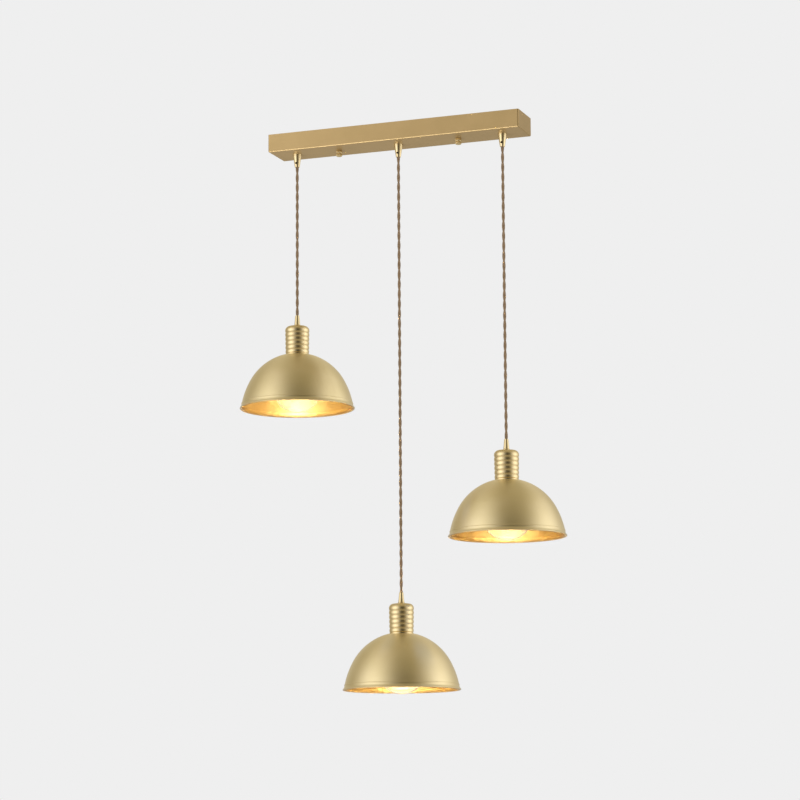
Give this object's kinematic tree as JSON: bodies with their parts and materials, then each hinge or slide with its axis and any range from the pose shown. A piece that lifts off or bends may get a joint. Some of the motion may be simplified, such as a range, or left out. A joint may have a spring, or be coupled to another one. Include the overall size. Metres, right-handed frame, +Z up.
{
  "type": "linear island pendant",
  "caption": "Linear island pendant: brass dome shades hang at stepped heights on twisted cords from a long box canopy, with ribbed socket cups and clear globe bulbs.",
  "frame": {"origin": "centre of the ceiling bracket, on the plane of the ceiling", "axes": "+X along the canopy, to the right as the picture shows it, +Y away from the picture's viewer, +Z up into the ceiling"},
  "size_m": [0.6402, 0.2202, 1.0849],
  "materials": {
    "satin_brass": "spun brass, satin",
    "turned_brass": "turned brass, semi-bright",
    "canopy_finish": "folded steel sheet with a satin brass finish",
    "zinc_steel": "bright zinc plate",
    "black_steel": "blackened steel",
    "cord_textile": "braided textile cover, twisted pair",
    "live_sleeve": "extruded PVC",
    "neutral_sleeve": "extruded PVC",
    "earth_sleeve": "extruded PVC",
    "phenolic": "moulded phenolic",
    "terminal_nylon": "moulded nylon",
    "contact_brass": "pressed brass",
    "clear_glass": "blown clear glass",
    "cap_nickel": "pressed screw cap",
    "tip_insulator": "black insulator with a soldered tip",
    "filament": "lit filament sticks on a glass stem"
  },
  "bodies": {
    "canopy": {"ceiling_bracket": "zinc_steel", "bracket_studs": "zinc_steel", "stud_nuts": "zinc_steel", "canopy_shell": "canopy_finish", "canopy_grip_left": "turned_brass", "canopy_grip_centre": "turned_brass", "canopy_grip_right": "turned_brass", "grip_nuts": "zinc_steel", "grip_screws": "black_steel", "terminal_block": "terminal_nylon", "live_leads": "live_sleeve", "neutral_leads": "neutral_sleeve", "earth_lead": "earth_sleeve"},
    "cap_nut_left": {"cap_nut_left": "turned_brass"},
    "cap_nut_right": {"cap_nut_right": "turned_brass"},
    "cord_bend_left": {"cord_top_left": "cord_textile"},
    "cord_run_left": {"cord_left": "cord_textile"},
    "lamp_left": {"lamp_grip_left": "turned_brass", "socket_cup_left": "turned_brass", "holder_cap_left": "phenolic", "lampholder_left": "phenolic", "screw_shell_left": "contact_brass", "centre_contact_left": "contact_brass", "socket_leads_left": "cord_textile", "shade_left": "satin_brass", "shade_ring_left": "phenolic"},
    "bulb_feed_left": {"bulb_tip_left": "tip_insulator"},
    "bulb_left": {"bulb_glass_left": "clear_glass", "bulb_cap_left": "cap_nickel", "bulb_filament_left": "filament"},
    "cord_bend_centre": {"cord_top_centre": "cord_textile"},
    "cord_run_centre": {"cord_centre": "cord_textile"},
    "lamp_centre": {"lamp_grip_centre": "turned_brass", "socket_cup_centre": "turned_brass", "holder_cap_centre": "phenolic", "lampholder_centre": "phenolic", "screw_shell_centre": "contact_brass", "centre_contact_centre": "contact_brass", "socket_leads_centre": "cord_textile", "shade_centre": "satin_brass", "shade_ring_centre": "phenolic"},
    "bulb_feed_centre": {"bulb_tip_centre": "tip_insulator"},
    "bulb_centre": {"bulb_glass_centre": "clear_glass", "bulb_cap_centre": "cap_nickel", "bulb_filament_centre": "filament"},
    "cord_bend_right": {"cord_top_right": "cord_textile"},
    "cord_run_right": {"cord_right": "cord_textile"},
    "lamp_right": {"lamp_grip_right": "turned_brass", "socket_cup_right": "turned_brass", "holder_cap_right": "phenolic", "lampholder_right": "phenolic", "screw_shell_right": "contact_brass", "centre_contact_right": "contact_brass", "socket_leads_right": "cord_textile", "shade_right": "satin_brass", "shade_ring_right": "phenolic"},
    "bulb_feed_right": {"bulb_tip_right": "tip_insulator"},
    "bulb_right": {"bulb_glass_right": "clear_glass", "bulb_cap_right": "cap_nickel", "bulb_filament_right": "filament"}
  },
  "joints": [
    {"name": "cap_nut_turn_left", "type": "hinge", "parent": "canopy", "child": "cap_nut_left", "pos_m": [-0.122, 0, -0.041], "axis": [0, 0, -1], "range_deg": [0, 360]},
    {"name": "cap_nut_turn_right", "type": "hinge", "parent": "canopy", "child": "cap_nut_right", "pos_m": [0.122, 0, -0.041], "axis": [0, 0, -1], "range_deg": [0, 360]},
    {"name": "swing_front_left", "type": "hinge", "parent": "canopy", "child": "cord_bend_left", "pos_m": [-0.21, 0, -0.06], "axis": [1, 0, 0], "range_deg": [-25, 25]},
    {"name": "swing_side_left", "type": "hinge", "parent": "cord_bend_left", "child": "cord_run_left", "pos_m": [-0.21, 0, -0.1], "axis": [0, 1, 0], "range_deg": [-6, 6]},
    {"name": "height_left", "type": "slide", "parent": "cord_run_left", "child": "lamp_left", "axis": [0, 0, 1], "range_m": [0, 0.15], "deforming": ["cord_left"]},
    {"name": "bulb_drop_left", "type": "slide", "parent": "lamp_left", "child": "bulb_feed_left", "axis": [0, 0, -1], "range_m": [0, 0.0182]},
    {"name": "bulb_turn_left", "type": "hinge", "parent": "bulb_feed_left", "child": "bulb_left", "pos_m": [-0.21, 0, -0.432], "axis": [0, 0, -1], "range_deg": [0, 1800]},
    {"name": "swing_front_centre", "type": "hinge", "parent": "canopy", "child": "cord_bend_centre", "pos_m": [0, 0, -0.06], "axis": [1, 0, 0], "range_deg": [-25, 25]},
    {"name": "swing_side_centre", "type": "hinge", "parent": "cord_bend_centre", "child": "cord_run_centre", "pos_m": [0, 0, -0.1], "axis": [0, 1, 0], "range_deg": [-6, 6]},
    {"name": "height_centre", "type": "slide", "parent": "cord_run_centre", "child": "lamp_centre", "axis": [0, 0, 1], "range_m": [0, 0.2], "deforming": ["cord_centre"]},
    {"name": "bulb_drop_centre", "type": "slide", "parent": "lamp_centre", "child": "bulb_feed_centre", "axis": [0, 0, -1], "range_m": [0, 0.0182]},
    {"name": "bulb_turn_centre", "type": "hinge", "parent": "bulb_feed_centre", "child": "bulb_centre", "pos_m": [0, 0, -0.974], "axis": [0, 0, -1], "range_deg": [0, 1800]},
    {"name": "swing_front_right", "type": "hinge", "parent": "canopy", "child": "cord_bend_right", "pos_m": [0.21, 0, -0.06], "axis": [1, 0, 0], "range_deg": [-25, 25]},
    {"name": "swing_side_right", "type": "hinge", "parent": "cord_bend_right", "child": "cord_run_right", "pos_m": [0.21, 0, -0.1], "axis": [0, 1, 0], "range_deg": [-6, 6]},
    {"name": "height_right", "type": "slide", "parent": "cord_run_right", "child": "lamp_right", "axis": [0, 0, 1], "range_m": [0, 0.2], "deforming": ["cord_right"]},
    {"name": "bulb_drop_right", "type": "slide", "parent": "lamp_right", "child": "bulb_feed_right", "axis": [0, 0, -1], "range_m": [0, 0.0182]},
    {"name": "bulb_turn_right", "type": "hinge", "parent": "bulb_feed_right", "child": "bulb_right", "pos_m": [0.21, 0, -0.697], "axis": [0, 0, -1], "range_deg": [0, 1800]}
  ],
  "couplings": [
    {"joint": "bulb_drop_left", "follows": "bulb_turn_left", "m_per_rad": 0.00057757},
    {"joint": "bulb_drop_centre", "follows": "bulb_turn_centre", "m_per_rad": 0.00057757},
    {"joint": "bulb_drop_right", "follows": "bulb_turn_right", "m_per_rad": 0.00057757}
  ]
}
